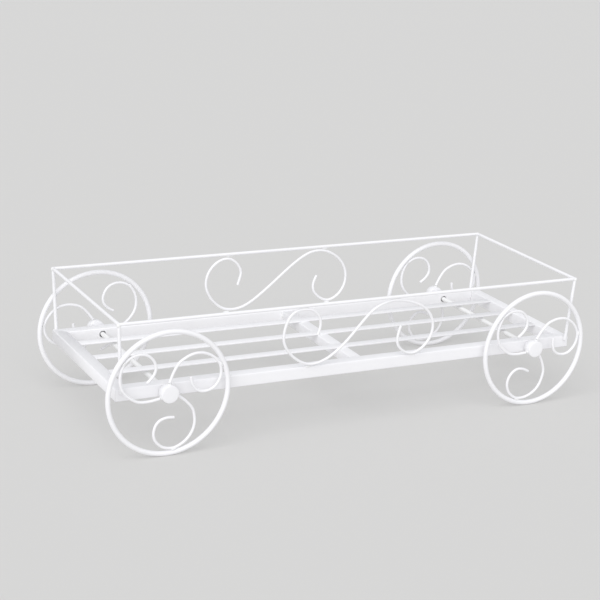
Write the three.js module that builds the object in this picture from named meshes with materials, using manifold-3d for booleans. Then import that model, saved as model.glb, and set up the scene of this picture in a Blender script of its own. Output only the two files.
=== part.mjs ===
// Flower cart stand in white coated steel wire and square tube:
// a flat slatted tray, a low wire railing with an S-shaped scroll on each long
// side, and four scroll-work wheels on two axles that turn in the drilled rails.
// Millimetres, +Z up, +X along the length, floor at z = 0.
import * as THREE from 'three';
import { mergeVertices } from 'three/addons/utils/BufferGeometryUtils.js';
import Module from 'manifold-3d';

const wasm = await Module();
wasm.setup();

// ---------------------------------------------------------------- dimensions
const GAP = 0.3;                 // clearance between neighbouring pieces

const RING_R = 97;               // wheel ring, centreline radius
const RING_ROD = 8;              // wheel ring rod diameter
const SCROLL_ROD = 4.5;          // scroll rod diameter, wheels and sides
const RAIL_ROD = 5.5;            // railing rod diameter
const AXLE_D = 8;                // axle rod diameter
const AXLE_BORE = 8.6;           // bores on the axle rod
const RAIL_HOLE = 11;            // wide holes in the rails, where the axle turns
const WHEEL_X = 332;             // axle position along the length, each way
const WHEEL_Y = 160;             // wheel plane, each way
const AXLE_Z = RING_R + RING_ROD / 2;

const TRAY_L = 824;              // tray outer length
const TRAY_W = 292;              // tray outer width
const TUBE = 20;                 // square tube size
const WALL = 1.5;                // tube wall
const TRAY_BOTTOM = AXLE_Z - TUBE / 2;
const TRAY_TOP = AXLE_Z + TUBE / 2;

const SLAT_W = 16;               // flat bars of the tray floor
const SLAT_T = 2.5;
const SLAT_Y = [-70, 0, 70];
const CROSS_X = 9;               // bar under the slats
const CROSS_W = 20;
const CROSS_H = 17;

const RAILING_H = 102.5;         // railing centreline above the tray top
const RAIL_X = 410.4;            // railing corners
const RAIL_Y = 149.8;
const POST_X = 404.4;            // post feet
const POST_FOOT_DROP = 7;        // post foot below the tray top

const HUB_D = 28;                // wheel hub, closed on its outer face
const HUB_L = 15;
const HUB_WALL = 3;
const SPACER_D = 13;             // keeps the hub off the rail

// Half-plane shape of one wheel scroll, in units of the ring radius:
// u towards the place where it meets the ring, v a quarter turn on.
const WHEEL_SCROLL = [
  [0.03, 0.10], [0.108, 0.184], [0.192, 0.268], [0.338, 0.368], [0.447, 0.391],
  [0.574, 0.390], [0.713, 0.345], [0.852, 0.219], [0.929, 0.03], [0.912, -0.10],
  [0.852, -0.206], [0.738, -0.290], [0.625, -0.307], [0.50, -0.266], [0.424, -0.188],
  [0.40, -0.068], [0.42, 0.06],
];
// Side scrolls: [x, height above the tray top].
const FRONT_SCROLL = [
  [-78.5, 52.0], [-75.3, 62.2], [-74.5, 71.0], [-77.8, 83.5], [-89.0, 94.0],
  [-104.0, 96.9], [-118.5, 95.0], [-129.0, 87.0], [-136.3, 69.0], [-137.2, 45.1],
  [-119.8, 20.0], [-90.8, 4.0], [-60.6, 9.4], [-28.0, 33.7], [-1.1, 64.0],
  [20.1, 85.4], [42.5, 95.2], [58.0, 96.9], [73.6, 95.6], [111.9, 82.3],
  [131.9, 58.3], [133.0, 33.0], [119.6, 12.0], [99.5, 2.6], [80.1, 8.8],
  [69.5, 21.9], [68.9, 36.5], [73.0, 52.6],
];
const BACK_SCROLL = [
  [-79.4, 46.2], [-75.7, 57.8], [-73.6, 67.7], [-78.0, 80.7], [-95.9, 95.0],
  [-118.0, 90.9], [-135.5, 72.1], [-138.9, 46.1], [-123.6, 19.8], [-100.1, 4.6],
  [-68.4, 5.9], [-30.9, 29.0], [9.3, 61.7], [38.2, 83.4], [62.3, 95.1],
  [88.4, 95.3], [115.1, 81.5], [131.6, 58.5], [132.6, 32.4], [119.5, 11.6],
  [96.8, 2.7], [71.4, 19.5], [68.4, 35.5], [74.5, 51.0],
];

// ------------------------------------------------------------------ materials
function coat(color, roughness = 0.45, metalness = 0.0) {
  return new THREE.MeshStandardMaterial({ color, roughness, metalness });
}

// ------------------------------------------------------------------- geometry
function signedVolume(g) {
  const p = g.getAttribute('position');
  const idx = g.index;
  const n = idx ? idx.count : p.count;
  const a = new THREE.Vector3();
  const b = new THREE.Vector3();
  const c = new THREE.Vector3();
  let v = 0;
  for (let i = 0; i < n; i += 3) {
    const [i0, i1, i2] = idx ? [idx.getX(i), idx.getX(i + 1), idx.getX(i + 2)] : [i, i + 1, i + 2];
    a.fromBufferAttribute(p, i0);
    b.fromBufferAttribute(p, i1);
    c.fromBufferAttribute(p, i2);
    v += a.dot(b.cross(c)) / 6;
  }
  return v;
}

// Position-only indexed copy with outward faces and no sliver triangles.
function clean(g) {
  const h = g.clone();
  h.deleteAttribute('normal');
  h.deleteAttribute('uv');
  const m = mergeVertices(h, 1e-4);
  const src = Array.from(m.index.array);
  const out = [];
  for (let i = 0; i < src.length; i += 3) {
    const [a, b, c] = [src[i], src[i + 1], src[i + 2]];
    if (a !== b && b !== c && c !== a) out.push(a, b, c);
  }
  if (signedVolume(m) < 0) {
    for (let i = 0; i < out.length; i += 3) {
      const t = out[i + 1];
      out[i + 1] = out[i + 2];
      out[i + 2] = t;
    }
  }
  m.setIndex(out);
  return m;
}

function toManifold(g) {
  const c = clean(g);
  return new wasm.Manifold(new wasm.Mesh({
    numProp: 3,
    vertProperties: new Float32Array(c.getAttribute('position').array),
    triVerts: new Uint32Array(c.index.array),
  }));
}

function fromManifold(m) {
  const mesh = m.getMesh();
  const g = new THREE.BufferGeometry();
  g.setAttribute('position', new THREE.BufferAttribute(new Float32Array(mesh.vertProperties), 3));
  g.setIndex(new THREE.BufferAttribute(new Uint32Array(mesh.triVerts), 1));
  return g;
}

function finish(g) {
  const c = clean(g);
  const flat = c.toNonIndexed();
  flat.computeVertexNormals();
  return flat;
}

// Solid or hollow turned piece about Y: [radius, y] profile.
function turned(profile, segments) {
  return new THREE.LatheGeometry(profile.map(([r, y]) => new THREE.Vector2(r, y)), segments);
}

function rodY(d, y0, y1, segments = 16) {
  return turned([[0, y0], [d / 2, y0], [d / 2, y1], [0, y1]], segments);
}

function tubeY(d, bore, y0, y1, segments = 16) {
  return turned([[bore / 2, y0], [d / 2, y0], [d / 2, y1], [bore / 2, y1], [bore / 2, y0]], segments);
}

function box(x0, x1, y0, y1, z0, z1) {
  const g = new THREE.BoxGeometry(x1 - x0, y1 - y0, z1 - z0);
  g.translate((x0 + x1) / 2, (y0 + y1) / 2, (z0 + z1) / 2);
  return g;
}

function circleShape(r, sides) {
  const pts = [];
  for (let i = 0; i < sides; i += 1) {
    const a = ((i + 0.5) / sides) * Math.PI * 2;
    pts.push(new THREE.Vector2(r * Math.cos(a), r * Math.sin(a)));
  }
  return new THREE.Shape(pts);
}

// Straight round rod between two points.
function rod(a, b, d, sides = 12) {
  const from = new THREE.Vector3(...a);
  const to = new THREE.Vector3(...b);
  const len = from.distanceTo(to);
  const g = new THREE.CylinderGeometry(d / 2, d / 2, len, sides, 1, false);
  const q = new THREE.Quaternion().setFromUnitVectors(
    new THREE.Vector3(0, 1, 0), to.clone().sub(from).normalize());
  g.applyQuaternion(q);
  g.translate((from.x + to.x) / 2, (from.y + to.y) / 2, (from.z + to.z) / 2);
  return g;
}

// Round rod bent along a smooth curve through the given points.
function bentRod(points, d, steps, sides = 8) {
  const curve = new THREE.CatmullRomCurve3(points.map((p) => new THREE.Vector3(...p)), false, 'centripetal');
  return new THREE.ExtrudeGeometry(circleShape(d / 2, sides), {
    steps, bevelEnabled: false, extrudePath: curve, curveSegments: 1,
  });
}

// Mitred square tube along X (side -1: towards -Y), as seen from above a trapezoid.
function mitredTube(halfLength, outer, side) {
  const m = GAP / Math.SQRT2;
  const s = new THREE.Shape([
    new THREE.Vector2(-halfLength + m, side * outer),
    new THREE.Vector2(halfLength - m, side * outer),
    new THREE.Vector2(halfLength - TUBE - m, side * (outer - TUBE)),
    new THREE.Vector2(-halfLength + TUBE + m, side * (outer - TUBE)),
  ]);
  const g = new THREE.ExtrudeGeometry(s, { depth: TUBE, bevelEnabled: false });
  g.translate(0, 0, TRAY_BOTTOM);
  const y = [side * (outer - WALL), side * (outer - TUBE + WALL)].sort((a, b) => a - b);
  const hollow = box(-halfLength - 5, halfLength + 5, y[0], y[1], TRAY_BOTTOM + WALL, TRAY_TOP - WALL);
  return toManifold(g).subtract(toManifold(hollow));
}

// ------------------------------------------------------------------- assembly
const cart = new THREE.Group();
cart.name = 'flower_cart_stand';
const frame = new THREE.Group();
frame.name = 'frame';
cart.add(frame);

function add(parent, name, geometry, material) {
  const mesh = new THREE.Mesh(finish(geometry), material);
  mesh.name = name;
  parent.add(mesh);
  return mesh;
}

// Long rails, drilled for the axles.
for (const [name, side] of [['front_rail', -1], ['back_rail', 1]]) {
  let tube = mitredTube(TRAY_L / 2, TRAY_W / 2, side);
  for (const x of [-WHEEL_X, WHEEL_X]) {
    const drill = rodY(RAIL_HOLE, -TRAY_W, TRAY_W, 24);
    drill.translate(x, 0, AXLE_Z);
    tube = tube.subtract(toManifold(drill));
  }
  add(frame, name, fromManifold(tube), coat(0xf1f1ef));
}
// End rails.
for (const [name, side] of [['left_end_rail', -1], ['right_end_rail', 1]]) {
  const g = fromManifold(mitredTube(TRAY_W / 2, TRAY_L / 2, -side));
  g.rotateZ(Math.PI / 2);
  add(frame, name, g, coat(0xeeeef0));
}

// Tray floor: three flat bars over one cross bar.
const slatEnd = TRAY_L / 2 - TUBE - GAP;
for (const [i, name] of ['front_slat', 'middle_slat', 'back_slat'].entries()) {
  const y = SLAT_Y[i];
  add(frame, name, box(-slatEnd, slatEnd, y - SLAT_W / 2, y + SLAT_W / 2, TRAY_TOP - SLAT_T, TRAY_TOP), coat(0xf2f2f0));
}
{
  const top = TRAY_TOP - SLAT_T - GAP;
  const half = TRAY_W / 2 - TUBE - GAP;
  const outer = toManifold(box(CROSS_X - CROSS_W / 2, CROSS_X + CROSS_W / 2, -half, half, top - CROSS_H, top));
  const inner = toManifold(box(CROSS_X - CROSS_W / 2 + WALL, CROSS_X + CROSS_W / 2 - WALL,
    -half - 5, half + 5, top - CROSS_H + WALL, top - WALL));
  add(frame, 'cross_bar', fromManifold(outer.subtract(inner)), coat(0xf0f0ee));
}

// Railing: two long rods, two end rods, four posts.
const railZ = TRAY_TOP + RAILING_H;
const longEnd = RAIL_X + RAIL_ROD / 2;
for (const [name, side] of [['front_top_rod', -1], ['back_top_rod', 1]]) {
  add(frame, name, rod([-longEnd, side * RAIL_Y, railZ], [longEnd, side * RAIL_Y, railZ], RAIL_ROD), coat(0xf4f4f2));
}
for (const [name, side] of [['left_top_rod', -1], ['right_top_rod', 1]]) {
  const y = RAIL_Y - RAIL_ROD / 2 - GAP;
  add(frame, name, rod([side * RAIL_X, -y, railZ], [side * RAIL_X, y, railZ], RAIL_ROD), coat(0xf0f0f2));
}
const postTop = railZ - RAIL_ROD / 2 - GAP;
const footY = TRAY_W / 2 + GAP + RAIL_ROD / 2;
for (const [name, sx, sy] of [['front_left_post', -1, -1], ['front_right_post', 1, -1],
  ['back_left_post', -1, 1], ['back_right_post', 1, 1]]) {
  add(frame, name, rod([sx * POST_X, sy * footY, TRAY_TOP - POST_FOOT_DROP], [sx * RAIL_X, sy * RAIL_Y, postTop], RAIL_ROD), coat(0xf2f2f0));
}

// S-shaped scrolls between tray and railing, one per long side.
for (const [name, side, pts] of [['front_scroll', -1, FRONT_SCROLL], ['back_scroll', 1, BACK_SCROLL]]) {
  const path = pts.map(([x, h]) => [x, side * (147.3 + 0.02 * h), TRAY_TOP + h]);
  add(frame, name, bentRod(path, SCROLL_ROD, 58), coat(0xf4f4f2));
}

// Two axles, each with its pair of wheels and the spacers that centre it.
const hubIn = WHEEL_Y - HUB_L / 2;
const hubOut = WHEEL_Y + HUB_L / 2;
const axleEnd = hubOut - HUB_WALL - GAP;

const scrollCutter = toManifold(rodY(HUB_D + 2 * GAP, -20, 20, 32));
function wheelScroll(mirror) {
  const pts = WHEEL_SCROLL.map(([u, v]) => [u * RING_R, 0, mirror * v * RING_R]);
  return fromManifold(toManifold(bentRod(pts, SCROLL_ROD, 28)).subtract(scrollCutter));
}
const SCROLLS = { 1: wheelScroll(1), '-1': wheelScroll(-1) };

function ringGeometry() {
  const pts = [];
  for (let i = 0; i <= 8; i += 1) {
    const a = (i / 8) * Math.PI * 2;
    pts.push([RING_R + (RING_ROD / 2) * Math.cos(a), (RING_ROD / 2) * Math.sin(a)]);
  }
  pts[8] = pts[0];
  return turned(pts, 48);
}

// Hub with a blind bore; the closed face looks outwards.
function hubGeometry(sy) {
  const h = HUB_L / 2;
  const g = turned([[0, h], [HUB_D / 2 - 1, h], [HUB_D / 2, h - 1], [HUB_D / 2, -h],
    [AXLE_BORE / 2, -h], [AXLE_BORE / 2, h - HUB_WALL], [0, h - HUB_WALL]].reverse(), 24);
  if (sy < 0) g.rotateZ(Math.PI);
  return g;
}

// name, width side, mirror, angles of the scrolls' ring contacts
const SETS = [
  ['left', -1, [['front_left', -1, 1, [-83.8, 24.5, 143.4]], ['back_left', 1, -1, [49.5, 172, 291]]]],
  ['right', 1, [['front_right', -1, 1, [-106.6, 11.4, 138.4]], ['back_right', 1, 1, [134.6, 252, 18.4]]]],
];
for (const [end, sx, wheels] of SETS) {
  const set = new THREE.Group();
  set.name = `${end}_axle_set`;
  set.position.set(sx * WHEEL_X, 0, AXLE_Z);
  cart.add(set);
  add(set, `${end}_axle`, rodY(AXLE_D, -axleEnd, axleEnd), coat(0xededeb));
  for (const [name, sy, mirror, angles] of wheels) {
    const spacer = [sy * (TRAY_W / 2 + GAP), sy * (hubIn - GAP)].sort((a, b) => a - b);
    add(set, `${name}_spacer`, tubeY(SPACER_D, AXLE_BORE, spacer[0], spacer[1]), coat(0xe9e9e7));
    const wheel = new THREE.Group();
    wheel.name = `${name}_wheel`;
    wheel.position.set(0, sy * WHEEL_Y, 0);
    set.add(wheel);
    add(wheel, `${name}_ring`, ringGeometry(), coat(0xf4f4f2));
    add(wheel, `${name}_hub`, hubGeometry(sy), coat(0xf2f2f0));
    for (const [i, angle] of angles.entries()) {
      const s = add(wheel, `${name}_wheel_scroll_${i + 1}`, SCROLLS[mirror], coat(0xf4f4f2));
      s.rotation.y = -(angle * Math.PI) / 180;
    }
  }
}

export default cart;
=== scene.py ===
import math
import bpy
import bmesh
from mathutils import Vector, Matrix


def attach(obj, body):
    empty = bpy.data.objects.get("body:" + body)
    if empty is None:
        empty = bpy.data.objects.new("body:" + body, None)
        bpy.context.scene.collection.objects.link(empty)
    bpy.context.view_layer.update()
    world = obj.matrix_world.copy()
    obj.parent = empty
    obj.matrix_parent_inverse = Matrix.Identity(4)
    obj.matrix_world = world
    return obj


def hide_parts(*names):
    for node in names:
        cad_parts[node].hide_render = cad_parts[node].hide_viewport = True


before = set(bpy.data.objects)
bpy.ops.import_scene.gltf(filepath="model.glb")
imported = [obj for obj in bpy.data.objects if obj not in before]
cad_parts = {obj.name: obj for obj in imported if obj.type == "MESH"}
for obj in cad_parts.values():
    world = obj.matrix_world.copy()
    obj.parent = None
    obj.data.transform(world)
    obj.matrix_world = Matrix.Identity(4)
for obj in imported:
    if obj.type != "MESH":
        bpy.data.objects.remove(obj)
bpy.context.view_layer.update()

V = Vector
MM = 0.001

# ------------------------------------------------------------------ dimensions
RING_R, RING_ROD = 97.0, 8.0
SCROLL_ROD, RAIL_ROD, AXLE_D = 4.5, 5.5, 8.0
WHEEL_X, WHEEL_Y, AXLE_Z = 332.0, 160.0, 101.0
TRAY_L, TRAY_W, TUBE = 824.0, 292.0, 20.0
TRAY_BOTTOM, TRAY_TOP = 91.0, 111.0
SLAT_W, SLAT_T, SLAT_Y = 16.0, 2.5, (-70.0, 0.0, 70.0)
CROSS_X, CROSS_W, CROSS_H = 9.0, 20.0, 17.0
RAIL_X, RAIL_Y, RAIL_Z = 410.4, 149.8, 213.5
POST_X = 404.4
HUB_D, HUB_L, HUB_WALL = 28.0, 15.0, 3.0
RAIL_HOLE, WALL = 11.0, 1.5

WHEEL_SCROLL = [
    (0.108, 0.184), (0.192, 0.268), (0.338, 0.368), (0.447, 0.391), (0.574, 0.390),
    (0.713, 0.345), (0.852, 0.219), (0.929, 0.03), (0.912, -0.10), (0.852, -0.206),
    (0.738, -0.290), (0.625, -0.307), (0.50, -0.266), (0.424, -0.188), (0.40, -0.068),
    (0.42, 0.06)]
FRONT_SCROLL = [
    (-78.5, 52.0), (-75.3, 62.2), (-74.5, 71.0), (-77.8, 83.5), (-89.0, 94.0),
    (-104.0, 96.9), (-118.5, 95.0), (-129.0, 87.0), (-136.3, 69.0), (-137.2, 45.1),
    (-119.8, 20.0), (-90.8, 4.0), (-60.6, 9.4), (-28.0, 33.7), (-1.1, 64.0),
    (20.1, 85.4), (42.5, 95.2), (58.0, 96.9), (73.6, 95.6), (111.9, 82.3),
    (131.9, 58.3), (133.0, 33.0), (119.6, 12.0), (99.5, 2.6), (80.1, 8.8),
    (69.5, 21.9), (68.9, 36.5), (73.0, 52.6)]
BACK_SCROLL = [
    (-79.4, 46.2), (-75.7, 57.8), (-73.6, 67.7), (-78.0, 80.7), (-95.9, 95.0),
    (-118.0, 90.9), (-135.5, 72.1), (-138.9, 46.1), (-123.6, 19.8), (-100.1, 4.6),
    (-68.4, 5.9), (-30.9, 29.0), (9.3, 61.7), (38.2, 83.4), (62.3, 95.1),
    (88.4, 95.3), (115.1, 81.5), (131.6, 58.5), (132.6, 32.4), (119.5, 11.6),
    (96.8, 2.7), (71.4, 19.5), (68.4, 35.5), (74.5, 51.0)]
WHEELS = [
    ("front_left", "left", -1, -1, 1, (-83.8, 24.5, 143.4)),
    ("front_right", "right", 1, -1, 1, (-106.6, 11.4, 138.4)),
    ("back_left", "left", -1, 1, -1, (49.5, 172.0, 291.0)),
    ("back_right", "right", 1, 1, 1, (134.6, 252.0, 18.4))]


# ------------------------------------------------------------------- materials
def coat(name, base=(0.905, 0.901, 0.920), rough=0.42, seed=0.0, bump=0.16):
    """White powder coat: fine orange-peel bump, slow tone variation, and painted
    shade in crevices, slightly darker and warmer; edges keep the base colour."""
    m = bpy.data.materials.new(name)
    m.use_nodes = True
    nt = m.node_tree
    n, l = nt.nodes, nt.links
    for x in list(n):
        n.remove(x)
    out = n.new("ShaderNodeOutputMaterial")
    b = n.new("ShaderNodeBsdfPrincipled")
    l.new(b.outputs[0], out.inputs[0])
    tc = n.new("ShaderNodeTexCoord")
    mp = n.new("ShaderNodeMapping")
    mp.inputs["Location"].default_value = (seed, seed * 1.7, seed * 0.6)
    l.new(tc.outputs["Object"], mp.inputs["Vector"])

    slow = n.new("ShaderNodeTexNoise")
    slow.inputs["Scale"].default_value = 14.0
    slow.inputs["Detail"].default_value = 4.0
    slow.inputs["Roughness"].default_value = 0.6
    l.new(mp.outputs[0], slow.inputs["Vector"])
    ramp = n.new("ShaderNodeValToRGB")
    ramp.color_ramp.elements[0].position = 0.30
    ramp.color_ramp.elements[1].position = 0.72
    ramp.color_ramp.elements[0].color = (base[0] * 0.975, base[1] * 0.975, base[2] * 0.978, 1)
    ramp.color_ramp.elements[1].color = (base[0], base[1], base[2], 1)
    l.new(slow.outputs["Fac"], ramp.inputs["Fac"])

    # painted shade: crevices darker and warmer by pointiness, edges left at the base colour
    geo = n.new("ShaderNodeNewGeometry")
    crevice_shade_ramp = n.new("ShaderNodeValToRGB")
    crevice_shade_ramp.color_ramp.elements[0].position = 0.44
    crevice_shade_ramp.color_ramp.elements[1].position = 0.50
    # painted shade colour for the crevices
    crevice_shade_ramp.color_ramp.elements[0].color = (0.95, 0.947, 0.935, 1)
    crevice_shade_ramp.color_ramp.elements[1].color = (1, 1, 1, 1)
    l.new(geo.outputs["Pointiness"], crevice_shade_ramp.inputs["Fac"])
    mix = n.new("ShaderNodeMix")
    mix.data_type = "RGBA"
    mix.blend_type = "MULTIPLY"
    mix.inputs[0].default_value = 1.0
    l.new(ramp.outputs["Color"], mix.inputs[6])
    l.new(crevice_shade_ramp.outputs["Color"], mix.inputs[7])
    # tiny dust specks in the coat
    spk = n.new("ShaderNodeTexVoronoi")
    spk.inputs["Scale"].default_value = 260.0
    l.new(mp.outputs[0], spk.inputs["Vector"])
    spr = n.new("ShaderNodeValToRGB")
    spr.color_ramp.elements[0].position = 0.02
    spr.color_ramp.elements[1].position = 0.06
    spr.color_ramp.elements[0].color = (0.90, 0.89, 0.87, 1)
    spr.color_ramp.elements[1].color = (1, 1, 1, 1)
    l.new(spk.outputs["Distance"], spr.inputs["Fac"])
    mix2 = n.new("ShaderNodeMix")
    mix2.data_type = "RGBA"
    mix2.blend_type = "MULTIPLY"
    mix2.inputs[0].default_value = 1.0
    l.new(mix.outputs[2], mix2.inputs[6])
    l.new(spr.outputs["Color"], mix2.inputs[7])
    l.new(mix2.outputs[2], b.inputs["Base Color"])

    # roughness
    rn = n.new("ShaderNodeTexNoise")
    rn.inputs["Scale"].default_value = 55.0
    rn.inputs["Detail"].default_value = 3.0
    l.new(mp.outputs[0], rn.inputs["Vector"])
    rr = n.new("ShaderNodeMapRange")
    rr.inputs["To Min"].default_value = rough - 0.06
    rr.inputs["To Max"].default_value = rough + 0.08
    l.new(rn.outputs["Fac"], rr.inputs["Value"])
    l.new(rr.outputs[0], b.inputs["Roughness"])

    # orange peel over slight unevenness
    op = n.new("ShaderNodeTexNoise")
    op.inputs["Scale"].default_value = 900.0
    op.inputs["Detail"].default_value = 2.0
    l.new(mp.outputs[0], op.inputs["Vector"])
    un = n.new("ShaderNodeTexNoise")
    un.inputs["Scale"].default_value = 160.0
    un.inputs["Detail"].default_value = 2.0
    l.new(mp.outputs[0], un.inputs["Vector"])
    ad = n.new("ShaderNodeMath")
    ad.operation = "MULTIPLY_ADD"
    l.new(un.outputs["Fac"], ad.inputs[0])
    ad.inputs[1].default_value = 1.5
    l.new(op.outputs["Fac"], ad.inputs[2])
    bp = n.new("ShaderNodeBump")
    bp.inputs["Strength"].default_value = bump
    bp.inputs["Distance"].default_value = 0.0006
    l.new(ad.outputs[0], bp.inputs["Height"])
    l.new(bp.outputs[0], b.inputs["Normal"])
    b.inputs["IOR"].default_value = 1.5
    b.inputs["Coat Weight"].default_value = 0.12
    b.inputs["Coat Roughness"].default_value = 0.25
    m.diffuse_color = (base[0], base[1], base[2], 1)
    return m


M_TUBE = coat("coat_tube", seed=0.0)
M_SLAT = coat("coat_slat", seed=3.1)
M_WIRE = coat("coat_wire", seed=7.7, rough=0.40)
M_WHEEL = coat("coat_wheel", seed=12.4, rough=0.40)
M_AXLE = coat("coat_axle", base=(0.885, 0.885, 0.885), seed=17.2, rough=0.45)
M_WELD = coat("coat_weld", base=(0.895, 0.895, 0.893), seed=26.0, rough=0.44, bump=0.5)


# --------------------------------------------------------------- mesh building
def finish_mesh(name, verts, faces, material, sharp=38.0):
    me = bpy.data.meshes.new(name)
    me.from_pydata([tuple(c * MM for c in v) for v in verts], [], faces)
    bm = bmesh.new()
    bm.from_mesh(me)
    bmesh.ops.remove_doubles(bm, verts=bm.verts, dist=1e-6)
    bmesh.ops.recalc_face_normals(bm, faces=bm.faces)
    lim = math.radians(sharp)
    for f in bm.faces:
        f.smooth = True
    for e in bm.edges:
        e.smooth = not (len(e.link_faces) == 2 and e.calc_face_angle(0.0) > lim)
    bm.to_mesh(me)
    bm.free()
    me.materials.append(material)
    ob = bpy.data.objects.new(name, me)
    bpy.context.scene.collection.objects.link(ob)
    return ob


def catmull(points, per=10):
    """Centripetal spline through the points, as the CAD's curve."""
    P = [V(p) for p in points]
    P = [P[0] * 2 - P[1]] + P + [P[-1] * 2 - P[-2]]
    out = []
    for i in range(1, len(P) - 2):
        p0, p1, p2, p3 = P[i - 1], P[i], P[i + 1], P[i + 2]
        t0 = 0.0
        t1 = t0 + max((p1 - p0).length, 1e-6) ** 0.5
        t2 = t1 + max((p2 - p1).length, 1e-6) ** 0.5
        t3 = t2 + max((p3 - p2).length, 1e-6) ** 0.5
        for k in range(per):
            t = t1 + (t2 - t1) * k / per
            a1 = p0 * ((t1 - t) / (t1 - t0)) + p1 * ((t - t0) / (t1 - t0))
            a2 = p1 * ((t2 - t) / (t2 - t1)) + p2 * ((t - t1) / (t2 - t1))
            a3 = p2 * ((t3 - t) / (t3 - t2)) + p3 * ((t - t2) / (t3 - t2))
            b1 = a1 * ((t2 - t) / (t2 - t0)) + a2 * ((t - t0) / (t2 - t0))
            b2 = a2 * ((t3 - t) / (t3 - t1)) + a3 * ((t - t1) / (t3 - t1))
            out.append(b1 * ((t2 - t) / (t2 - t1)) + b2 * ((t - t1) / (t2 - t1)))
    out.append(P[-2])
    return out


def relax(path, rounds=6):
    """Evens out small kinks, ends held."""
    for _ in range(rounds):
        path = [path[0]] + [(path[i - 1] + path[i] * 2 + path[i + 1]) / 4 for i in range(1, len(path) - 1)] + [path[-1]]
    return path


def wire(name, path, d, material, sides=20, closed=False, radius=None, end_round=0.8):
    """Round wire swept along a path, with softly sheared ends."""
    path = [V(p) for p in path]
    n = len(path)
    if closed:
        tan = [(path[(i + 1) % n] - path[i - 1]).normalized() for i in range(n)]
    else:
        tan = [(path[min(i + 1, n - 1)] - path[max(i - 1, 0)]).normalized() for i in range(n)]
    up = V((0, 1, 0)) if abs(tan[0].y) < 0.9 else V((0, 0, 1))
    u = (up - tan[0] * up.dot(tan[0])).normalized()
    frames = []
    for t in tan:
        u = (u - t * u.dot(t)).normalized()
        frames.append((u, t.cross(u)))
    stations = [(path[i], frames[i], d / 2 if radius is None else radius(i)) for i in range(n)]
    if not closed and end_round > 0:
        r = stations[0][2]
        e = min(end_round, r * 0.9)
        # round the first end: positions grow from the end face inwards
        first = []
        for k in range(4):
            g = k / 3 * math.pi / 2
            first.append((path[0] + tan[0] * (e * (1 - math.cos(g))), frames[0], r - e + e * math.sin(g)))
        last = []
        r2 = stations[-1][2]
        for k in range(4):
            g = k / 3 * math.pi / 2
            last.append((path[-1] - tan[-1] * (e * (1 - math.cos(g))), frames[-1], r2 - e + e * math.sin(g)))
        inner = [s for s in stations[1:-1]
                 if (s[0] - path[0]).length > e * 1.2 and (s[0] - path[-1]).length > e * 1.2]
        stations = first + inner + list(reversed(last))
    verts, faces = [], []
    for c, (a, b), r in stations:
        for k in range(sides):
            g = 2 * math.pi * k / sides
            verts.append(c + a * (r * math.cos(g)) + b * (r * math.sin(g)))
    m = len(stations)
    for i in range(m if closed else m - 1):
        j = (i + 1) % m
        for k in range(sides):
            q = (k + 1) % sides
            faces.append((i * sides + k, i * sides + q, j * sides + q, j * sides + k))
    if not closed:
        faces.append(tuple(range(sides)))
        faces.append(tuple((m - 1) * sides + k for k in range(sides)))
    return finish_mesh(name, verts, faces, material)


def turned(name, profile, centre, material, seg=48, closed=False):
    """Turned piece about an axis along Y; profile is [(radius, y)]."""
    verts, faces = [], []
    n = len(profile)
    for s in range(seg):
        g = 2 * math.pi * s / seg
        for r, y in profile:
            verts.append(V((centre[0] + r * math.cos(g), centre[1] + y, centre[2] + r * math.sin(g))))
    for s in range(seg):
        t = (s + 1) % seg
        for i in range(n if closed else n - 1):
            j = (i + 1) % n
            faces.append((s * n + i, t * n + i, t * n + j, s * n + j))
    ob = finish_mesh(name, verts, faces, material)
    bm = bmesh.new()
    bm.from_mesh(ob.data)
    bmesh.ops.dissolve_degenerate(bm, edges=bm.edges, dist=1e-7)
    bm.to_mesh(ob.data)
    bm.free()
    return ob


def round_corners(pts, r, k=4):
    """2-D closed polygon with its corners rounded by r."""
    out = []
    n = len(pts)
    for i in range(n):
        p, a, b = V(pts[i]), V(pts[i - 1]), V(pts[(i + 1) % n])
        da, db = (a - p).normalized(), (b - p).normalized()
        ang = da.angle(db)
        t = r / math.tan(ang / 2)
        c = p + (da + db).normalized() * (r / math.sin(ang / 2))
        s, e = p + da * t - c, p + db * t - c
        for j in range(k + 1):
            w = j / k
            q = s.slerp(e, w) if s.length > 1e-9 else s
            out.append(c + q.normalized() * r)
    return out


def bar(name, section, x0, x1, material, along="x", soft=0.4):
    """Bar with the given rounded 2-D section, swept between two end functions.
    x0 and x1 take a section point and return the end position there."""
    stations = [(x0, 0.0, soft), (x0, soft * 0.35, soft * 0.3), (x0, soft, 0.0)]
    verts, faces = [], []
    n = len(section)
    cx = sum(p[0] for p in section) / n
    cy = sum(p[1] for p in section) / n

    def put(end, inset, shrink, sign):
        for p in section:
            q = V((p[0], p[1]))
            dirn = V((p[0] - cx, p[1] - cy))
            s = q - V((math.copysign(min(shrink, abs(dirn.x)), dirn.x), math.copysign(min(shrink, abs(dirn.y)), dirn.y)))
            e = end(s) + sign * inset
            verts.append(V((e, s[0], s[1])) if along == "x" else V((s[0], e, s[1])))
    for end, inset, shrink in stations:
        put(end, inset, shrink, 1)
    for _, inset, shrink in reversed(stations):
        put(x1, inset, shrink, -1)
    m = 6
    for i in range(m - 1):
        for k in range(n):
            q = (k + 1) % n
            faces.append((i * n + k, i * n + q, (i + 1) * n + q, (i + 1) * n + k))
    faces.append(tuple(range(n)))
    faces.append(tuple((m - 1) * n + k for k in range(n)))
    return finish_mesh(name, verts, faces, material, sharp=50)


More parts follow.
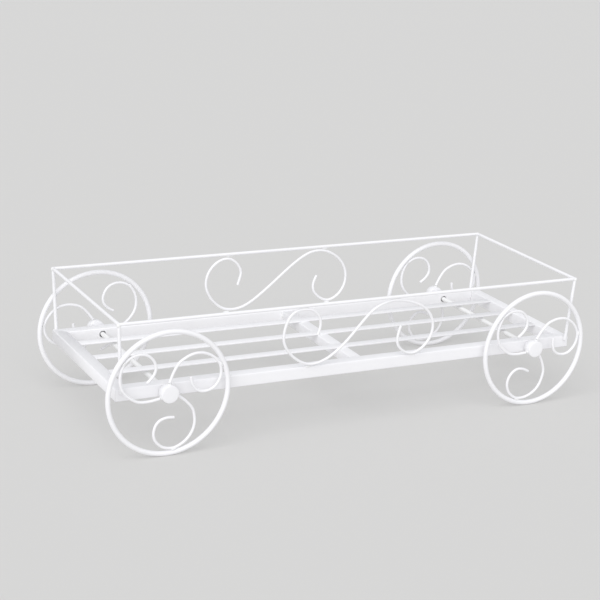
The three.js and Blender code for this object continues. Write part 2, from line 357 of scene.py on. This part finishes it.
def bead(name, path, d, seed=0, closed=False):
    """Weld bead: a small rippled fillet along the joint line."""
    path = [V(p) for p in path]
    if not closed:
        fine = []
        for i in range(len(path) - 1):
            for k in range(4):
                fine.append(path[i].lerp(path[i + 1], k / 4))
        fine.append(path[-1])
        path = fine
    n = len(path)

    def rad(i):
        w = 1.0 if closed else min(1.0, 0.45 + 2.2 * min(i, n - 1 - i) / max(n - 1, 1))
        return d / 2 * w * (1 + 0.16 * math.sin(i * 1.9 + seed) + 0.07 * math.sin(i * 0.83 + seed * 2.3))
    return wire(name, path, d, M_WELD, sides=12, closed=closed, radius=rad, end_round=d * 0.3)


def carve(ob, tools):
    """Takes the tool meshes out of a piece and leaves a plain mesh."""
    for t in tools:
        m = ob.modifiers.new("cut", "BOOLEAN")
        m.operation, m.solver, m.object = "DIFFERENCE", "EXACT", t
    dg = bpy.context.evaluated_depsgraph_get()
    me = bpy.data.meshes.new_from_object(ob.evaluated_get(dg))
    ob.modifiers.clear()
    ob.data = me
    bm = bmesh.new()
    bm.from_mesh(me)
    bmesh.ops.remove_doubles(bm, verts=bm.verts, dist=1e-6)
    for f in bm.faces:
        f.smooth = True
        f.material_index = 0
    for e in bm.edges:
        e.smooth = not (len(e.link_faces) == 2 and e.calc_face_angle(0.0) > math.radians(30))
    bm.to_mesh(me)
    bm.free()
    for t in tools:
        bpy.data.objects.remove(t, do_unlink=True)
    return ob


def blob(name, centre, r, seed=0.0, flat_z=None):
    """Weld blob: a lumpy drop of metal where wires meet."""
    verts, faces = [], []
    nu, nv = 24, 14
    for j in range(1, nv):
        th = math.pi * j / nv
        for i in range(nu):
            ph = 2 * math.pi * i / nu
            q = r * (1 + 0.05 * math.sin(3 * ph + seed) * math.sin(th) + 0.04 * math.sin(5 * th + 2 * ph + seed * 1.7))
            verts.append(V((q * math.sin(th) * math.cos(ph), q * math.sin(th) * math.sin(ph), q * math.cos(th))))
    top, bot = len(verts), len(verts) + 1
    verts += [V((0, 0, r)), V((0, 0, -r))]
    for i in range(nu):
        k = (i + 1) % nu
        faces.append((top, i, k))
        faces.append((bot, (nv - 2) * nu + k, (nv - 2) * nu + i))
        for j in range(nv - 2):
            faces.append((j * nu + i, (j + 1) * nu + i, (j + 1) * nu + k, j * nu + k))
    verts = [V(centre) + v for v in verts]
    if flat_z is not None:
        verts = [V((v.x, v.y, flat_z - 0.25 * (1 - math.exp(-(flat_z - v.z) / 0.25)) if 0 <= flat_z - v.z < 0.25 else min(v.z, flat_z))) for v in verts]
    return finish_mesh(name, verts, faces, M_WELD, sharp=80)


def put(ob, body, slot, *nodes):
    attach(ob, body)
    if nodes:
        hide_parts(*nodes)
    return ob


# ------------------------------------------------------------------------ tray
for nm, s in (("front_rail", -1), ("back_rail", 1)):
    yo, yi = s * TRAY_W / 2, s * (TRAY_W / 2 - TUBE)
    lo, hi = min(yo, yi), max(yo, yi)
    sec = round_corners([(lo, TRAY_BOTTOM), (hi, TRAY_BOTTOM), (hi, TRAY_TOP), (lo, TRAY_TOP)], 1.7)
    end = lambda p, k: k * (TRAY_L / 2 - (TRAY_W / 2 - abs(p[0])) - 0.05)
    tube = bar(nm + "_tube", sec, lambda p: end(p, -1), lambda p: end(p, 1), M_TUBE, soft=0.25)
    core = round_corners([(lo + WALL, TRAY_BOTTOM + WALL), (hi - WALL, TRAY_BOTTOM + WALL), (hi - WALL, TRAY_TOP - WALL), (lo + WALL, TRAY_TOP - WALL)], 0.6)
    tools = [bar("core_tool", core, lambda p: -TRAY_L / 2 + TUBE + 3, lambda p: TRAY_L / 2 - TUBE - 3, M_TUBE, soft=0.1)]
    for sx in (-1, 1):
        prof = [(0.0, lo - 2), (RAIL_HOLE / 2 + 0.5, lo - 2), (RAIL_HOLE / 2 + 0.5, lo), (RAIL_HOLE / 2, lo + 0.5),
                (RAIL_HOLE / 2, hi - 0.5), (RAIL_HOLE / 2 + 0.5, hi), (RAIL_HOLE / 2 + 0.5, hi + 2), (0.0, hi + 2)]
        tools.append(turned("drill_tool", prof, (sx * WHEEL_X, 0, AXLE_Z), M_TUBE, seg=48))
    carve(tube, tools)
    put(tube, "frame", "tray", nm)
for nm, s in (("left_end_rail", -1), ("right_end_rail", 1)):
    xo, xi = s * TRAY_L / 2, s * (TRAY_L / 2 - TUBE)
    sec = round_corners([(min(xo, xi), TRAY_BOTTOM), (max(xo, xi), TRAY_BOTTOM), (max(xo, xi), TRAY_TOP), (min(xo, xi), TRAY_TOP)], 1.7)
    endy = lambda p, k: k * (TRAY_W / 2 - (TRAY_L / 2 - abs(p[0])) - 0.05)
    put(bar(nm + "_tube", sec, lambda p: endy(p, -1), lambda p: endy(p, 1), M_TUBE, along="y", soft=0.25), "frame", "tray", nm)
for nm, y in zip(("front_slat", "middle_slat", "back_slat"), SLAT_Y):
    sec = round_corners([(y - SLAT_W / 2, TRAY_TOP - SLAT_T), (y + SLAT_W / 2, TRAY_TOP - SLAT_T), (y + SLAT_W / 2, TRAY_TOP), (y - SLAT_W / 2, TRAY_TOP)], 0.7, 3)
    e = TRAY_L / 2 - TUBE + 0.2
    put(bar(nm + "_bar", sec, lambda p: -e, lambda p: e, M_SLAT, soft=0.1), "frame", "tray", nm)
top = TRAY_TOP - SLAT_T - 0.05
sec = round_corners([(CROSS_X - CROSS_W / 2, top - CROSS_H), (CROSS_X + CROSS_W / 2, top - CROSS_H), (CROSS_X + CROSS_W / 2, top), (CROSS_X - CROSS_W / 2, top)], 1.5)
e = TRAY_W / 2 - TUBE + 0.2
put(bar("cross_bar_tube", sec, lambda p: -e, lambda p: e, M_TUBE, along="y", soft=0.1), "frame", "tray", "cross_bar")

# --------------------------------------------------------------------- railing
zt = RAIL_Z
for nm, s in (("front_top_rod", -1), ("back_top_rod", 1)):
    e = RAIL_X + RAIL_ROD / 2 - 0.1
    path = [V((-e + 2 * e * i / 40, s * RAIL_Y, zt)) for i in range(41)]
    put(wire(nm + "_wire", path, RAIL_ROD, M_WIRE, sides=24, end_round=1.4), "frame", "railing", nm)
for nm, s in (("left_top_rod", -1), ("right_top_rod", 1)):
    y = RAIL_Y - RAIL_ROD / 2 + 0.6
    path = [V((s * RAIL_X, -y + 2 * y * i / 16, zt)) for i in range(17)]
    put(wire(nm + "_wire", path, RAIL_ROD, M_WIRE, sides=24, end_round=0.2), "frame", "railing", nm)
foot_y = TRAY_W / 2 + RAIL_ROD / 2 + 0.05
for nm, sx, sy in (("front_left_post", -1, -1), ("front_right_post", 1, -1), ("back_left_post", -1, 1), ("back_right_post", 1, 1)):
    a = V((sx * POST_X, sy * foot_y, TRAY_TOP - 7))
    b = V((sx * RAIL_X, sy * RAIL_Y, zt - RAIL_ROD / 2 + 0.6))
    put(wire(nm + "_wire", [a.lerp(b, i / 12) for i in range(13)], RAIL_ROD, M_WIRE, sides=24, end_round=1.0), "frame", "railing", nm)
for nm, s, pts in (("front_scroll", -1, FRONT_SCROLL), ("back_scroll", 1, BACK_SCROLL)):
    path = relax(catmull([(x, s * (147.3 + 0.02 * h), TRAY_TOP + h) for x, h in pts], 8), 8)
    put(wire(nm + "_wire", path, SCROLL_ROD, M_WIRE, sides=20, end_round=0.9), "frame", "railing", nm)

# ---------------------------------------------------------------------- wheels
hub_out = WHEEL_Y + HUB_L / 2
axle_end = hub_out - HUB_WALL - 0.3
for end_name, sx in (("left", -1), ("right", 1)):
    path = [V((sx * WHEEL_X, -axle_end + 2 * axle_end * i / 24, AXLE_Z)) for i in range(25)]
    put(wire(end_name + "_axle_rod", path, AXLE_D, M_AXLE, sides=32, end_round=1.0), end_name + "_axle_set", "axle_rod", end_name + "_axle")

for name, end_name, sx, sy, mirror, angles in WHEELS:
    body = end_name + "_axle_set"
    cx, cy, cz = sx * WHEEL_X, sy * WHEEL_Y, AXLE_Z
    path = [V((cx + RING_R * math.cos(2 * math.pi * i / 144), cy, cz + RING_R * math.sin(2 * math.pi * i / 144))) for i in range(144)]
    put(wire(name + "_ring_rod", path, RING_ROD, M_WHEEL, sides=24, closed=True), body, "wheels", name + "_ring")
    # hub: turned boss, closed outside, blind bore inside
    h, r, b, c = HUB_L / 2, HUB_D / 2, 4.3, 1.1
    prof = [(0.0, h), (r - c - 1.5, h), (r - c, h - 0.12), (r - c * 0.3, h - c * 0.4), (r, h - c), (r, -h + c), (r - c * 0.3, -h + c * 0.3), (r - c, -h), (b + 0.5, -h), (b, -h + 0.5), (b, h - HUB_WALL), (0.0, h - HUB_WALL)]
    put(turned(name + "_hub_boss", [(r_, sy * y_) for r_, y_ in prof], (cx, cy, cz), M_WHEEL, seg=64), body, "wheels", name + "_hub")
    for i in range(3):
        a = math.radians(angles[i])
        ca, sa = math.cos(a), math.sin(a)

        def at(u, v):
            return V((cx + RING_R * (u * ca - mirror * v * sa), cy, cz + RING_R * (u * sa + mirror * v * ca)))
        pts = [at(u, v) for u, v in WHEEL_SCROLL]
        hub_dir = (pts[0] - pts[1]).normalized()
        start = pts[0] + hub_dir * 5.0
        path = relax(catmull([start] + pts, 9), 4)
        put(wire(f"{name}_scroll_{i + 1}_wire", path, SCROLL_ROD, M_WHEEL, sides=20, end_round=0.9), body, "wheels", f"{name}_wheel_scroll_{i + 1}")
        # welds: at the hub and where the scroll meets the ring
        d = (start - V((cx, cy, cz))).normalized()
        side = V((0, 1, 0)).cross(d).normalized()
        o = V((cx, cy, cz)) + d * (HUB_D / 2 + 0.4)
        circ = [o + (V((0, 1, 0)) * math.cos(2 * math.pi * k / 18) + side * math.sin(2 * math.pi * k / 18)) * 2.3 for k in range(18)]
        put(bead(f"{name}_hub_weld_{i + 1}", circ, 1.9, seed=i * 1.3 + sx, closed=True), body, "wheels")
        for yy, tag in ((-1.0, "a"), (1.0, "b")):
            seg = []
            for k in range(7):
                g = (k - 3) / 3 * 0.045
                p = V((math.cos(a + g), 0, math.sin(a + g)))
                seg.append(V((cx, cy, cz)) + p * (RING_R - 5.0) + V((0, yy * 2.0, 0)))
            put(bead(f"{name}_ring_weld_{i + 1}{tag}", seg, 2.2, seed=i + 0.7 * sx), body, "wheels")

    sp = [(4.1, 146.4), (4.6, 146.05), (6.2, 146.05), (6.5, 146.35), (6.5, 151.9), (6.2, 152.2), (4.6, 152.2), (4.1, 151.8)]
    put(turned(name + "_spacer_tube", [(r_, sy * y_) for r_, y_ in sp], (cx, 0, cz), M_AXLE, seg=48, closed=True), body, "axle_rod", name + "_spacer")

# ----------------------------------------------------------------------- welds
for sx in (-1, 1):
    for sy in (-1, 1):
        tag = ("right" if sx > 0 else "left") + ("_back" if sy > 0 else "_front")
        # mitre seams of the tray tubes, outer corner and top
        x, y = sx * TRAY_L / 2, sy * TRAY_W / 2
        put(bead("mitre_weld_" + tag, [V((x - sx * 1.1, y - sy * 1.1, TRAY_BOTTOM + 1.2 + 17.6 * k / 8)) for k in range(9)], 1.8, seed=sx + 2 * sy), "frame", "tray")
        put(bead("mitre_top_weld_" + tag, [V((x - sx * (1.5 + 18 * k / 9), y - sy * (1.5 + 18 * k / 9), TRAY_TOP - 0.55)) for k in range(10)], 1.2, seed=sx * 3 + sy), "frame", "tray")
        # post foot on the rail's outer face
        fx, fy = sx * POST_X, sy * foot_y
        for dx, t in ((-1, "a"), (1, "b")):
            put(bead(f"post_foot_weld_{tag}_{t}", [V((fx + dx * 1.9, sy * (TRAY_W / 2 + 0.9), TRAY_TOP - 7.0 + 6.4 * k / 4)) for k in range(5)], 2.0, seed=dx + sx), "frame", "railing")
        put(bead("post_foot_cap_" + tag, [V((fx - 2.0 + 4.0 * k / 4, sy * (TRAY_W / 2 + 1.3), TRAY_TOP - 7.4 + 0.5 * math.sin(k / 4 * math.pi))) for k in range(5)], 2.4, seed=sx * 2 + sy), "frame", "railing")
        # railing corner
        c = V((sx * RAIL_X, sy * RAIL_Y, zt - RAIL_ROD / 2 + 0.2))
        circ = [c + V((2.35 * math.cos(2 * math.pi * k / 18), 2.35 * math.sin(2 * math.pi * k / 18), 0)) for k in range(18)]
        put(bead("post_top_weld_" + tag, circ, 1.5, seed=sx + sy * 2, closed=True), "frame", "railing")
        c = V((sx * RAIL_X, sy * (RAIL_Y - RAIL_ROD / 2 + 0.1), zt))
        circ = [c + V((2.0 * math.cos(2 * math.pi * k / 18), 0, 2.0 * math.sin(2 * math.pi * k / 18) - 0.2)) for k in range(18)]
        put(bead("rod_corner_weld_" + tag, circ, 1.4, seed=sx * 1.4 + sy, closed=True), "frame", "railing")
        put(blob("corner_blob_" + tag, (sx * (RAIL_X + 0.4), sy * (RAIL_Y + 0.1), zt - 1.0), 3.5, seed=sx + 2.1 * sy, flat_z=zt + RAIL_ROD / 2 - 0.05), "frame", "railing")
for j, y in enumerate(SLAT_Y):
    for sx in (-1, 1):
        x = sx * (TRAY_L / 2 - TUBE)
        put(bead(f"slat_weld_{j}_{'r' if sx > 0 else 'l'}", [V((x - sx * 0.6, y - 6.5 + 13 * k / 6, TRAY_TOP - SLAT_T - 0.4)) for k in range(7)], 2.0, seed=j + sx), "frame", "tray")
    for s in (-1, 1):
        put(bead(f"slat_cross_weld_{j}_{'b' if s > 0 else 'a'}", [V((CROSS_X - 6 + 12 * k / 6, y + s * (SLAT_W / 2 + 0.1), TRAY_TOP - SLAT_T - 0.1)) for k in range(7)], 1.7, seed=j * 2 + s), "frame", "tray")
for sy in (-1, 1):
    for sx in (-1, 1):
        put(bead(f"cross_weld_{'b' if sy > 0 else 'f'}_{'r' if sx > 0 else 'l'}", [V((CROSS_X + sx * (CROSS_W / 2 + 0.1), sy * (TRAY_W / 2 - TUBE - 0.4), 95.0 + 12.0 * k / 6)) for k in range(7)], 2.2, seed=sy + sx * 2), "frame", "tray")


def lowest(pts):
    return min(pts, key=lambda p: p[1])


def scroll_welds(tag, s, pts):
    left_low = lowest([p for p in pts if p[0] < 0])
    right_low = lowest([p for p in pts if p[0] > 0])
    tops = (max([p for p in pts if p[0] < 0], key=lambda p: p[1]), max([p for p in pts if 30 < p[0] < 100], key=lambda p: p[1]))
    for k, (x, h) in enumerate((left_low, right_low)):
        put(bead(f"{tag}_scroll_foot_weld_{k}", [V((x - 5.5 + 11 * j / 5, s * (TRAY_W / 2 - 0.2), TRAY_TOP + 0.4)) for j in range(6)], 2.8, seed=k + s), "frame", "railing")
    for k, (x, h) in enumerate(tops):
        put(bead(f"{tag}_scroll_top_weld_{k}", [V((x - 6.5 + 13 * j / 5, s * (RAIL_Y - 0.3), zt - RAIL_ROD / 2 - 0.3)) for j in range(6)], 2.6, seed=k * 2 + s), "frame", "railing")


scroll_welds("front", -1, FRONT_SCROLL)
scroll_welds("back", 1, BACK_SCROLL)

# ------------------------------------------------------------ floor and lights
fm = bpy.data.materials.new("floor_pale")
fm.use_nodes = True
fb = fm.node_tree.nodes["Principled BSDF"]
fn = fm.node_tree.nodes.new("ShaderNodeTexNoise")
fn.inputs["Scale"].default_value = 3.0
fr = fm.node_tree.nodes.new("ShaderNodeValToRGB")
fr.color_ramp.elements[0].color = (0.470, 0.467, 0.460, 1)
fr.color_ramp.elements[1].color = (0.474, 0.471, 0.464, 1)
fm.node_tree.links.new(fn.outputs["Fac"], fr.inputs["Fac"])
fm.node_tree.links.new(fr.outputs["Color"], fb.inputs["Base Color"])
fb.inputs["Roughness"].default_value = 0.9
fb.inputs["Emission Color"].default_value = (1.0, 0.993, 0.982, 1)
fb.inputs["Emission Strength"].default_value = 0.204
fb.inputs["Specular IOR Level"].default_value = 0.1
me = bpy.data.meshes.new("floor")
S = 40.0
me.from_pydata([(-S, -S, 0), (S, -S, 0), (S, S, 0), (-S, S, 0)], [], [(0, 1, 2, 3)])
me.materials.append(fm)
floor = bpy.data.objects.new("floor", me)
bpy.context.scene.collection.objects.link(floor)

world = bpy.data.worlds.new("studio")
bpy.context.scene.world = world
world.use_nodes = True
bpy.context.scene.view_settings.view_transform = "Standard"
bg = world.node_tree.nodes["Background"]
bg.inputs[0].default_value = (0.97, 0.98, 1.0, 1)
bg.inputs[1].default_value = 0.658


def sun(name, direction, angle_deg, strength, color=(1, 1, 1)):
    """Very wide soft source: the light comes from the given direction."""
    d = bpy.data.lights.new(name, "SUN")
    d.energy = strength
    d.angle = math.radians(angle_deg)
    d.color = color
    o = bpy.data.objects.new(name, d)
    bpy.context.scene.collection.objects.link(o)
    o.rotation_euler = V(direction).to_track_quat("Z", "Y").to_euler()
    return o


sun("key_soft", (-0.50, -0.60, 0.62), 75, 1.86)

# ---------------------------------------------------------------------- camera
az, el, roll = 0.489, 0.3028, 0.0593
fw = V((math.sin(az) * math.cos(el), math.cos(az) * math.cos(el), -math.sin(el)))
rt = V((math.cos(az), -math.sin(az), 0))
up = rt.cross(fw)
r2 = rt * math.cos(roll) + up * math.sin(roll)
u2 = rt * -math.sin(roll) + up * math.cos(roll)
cam = bpy.data.cameras.new("camera")
cam.sensor_width = 36.0
cam.sensor_fit = "HORIZONTAL"
cam.lens = 1552.33 * 36.0 / 600.0
cam.clip_end = 200.0
co = bpy.data.objects.new("camera", cam)
rot = Matrix((r2, u2, -fw)).transposed().to_4x4()
co.matrix_world = Matrix.Translation(V((-1.1872, -2.1665, 0.9379))) @ rot
bpy.context.scene.collection.objects.link(co)
bpy.context.scene.camera = co
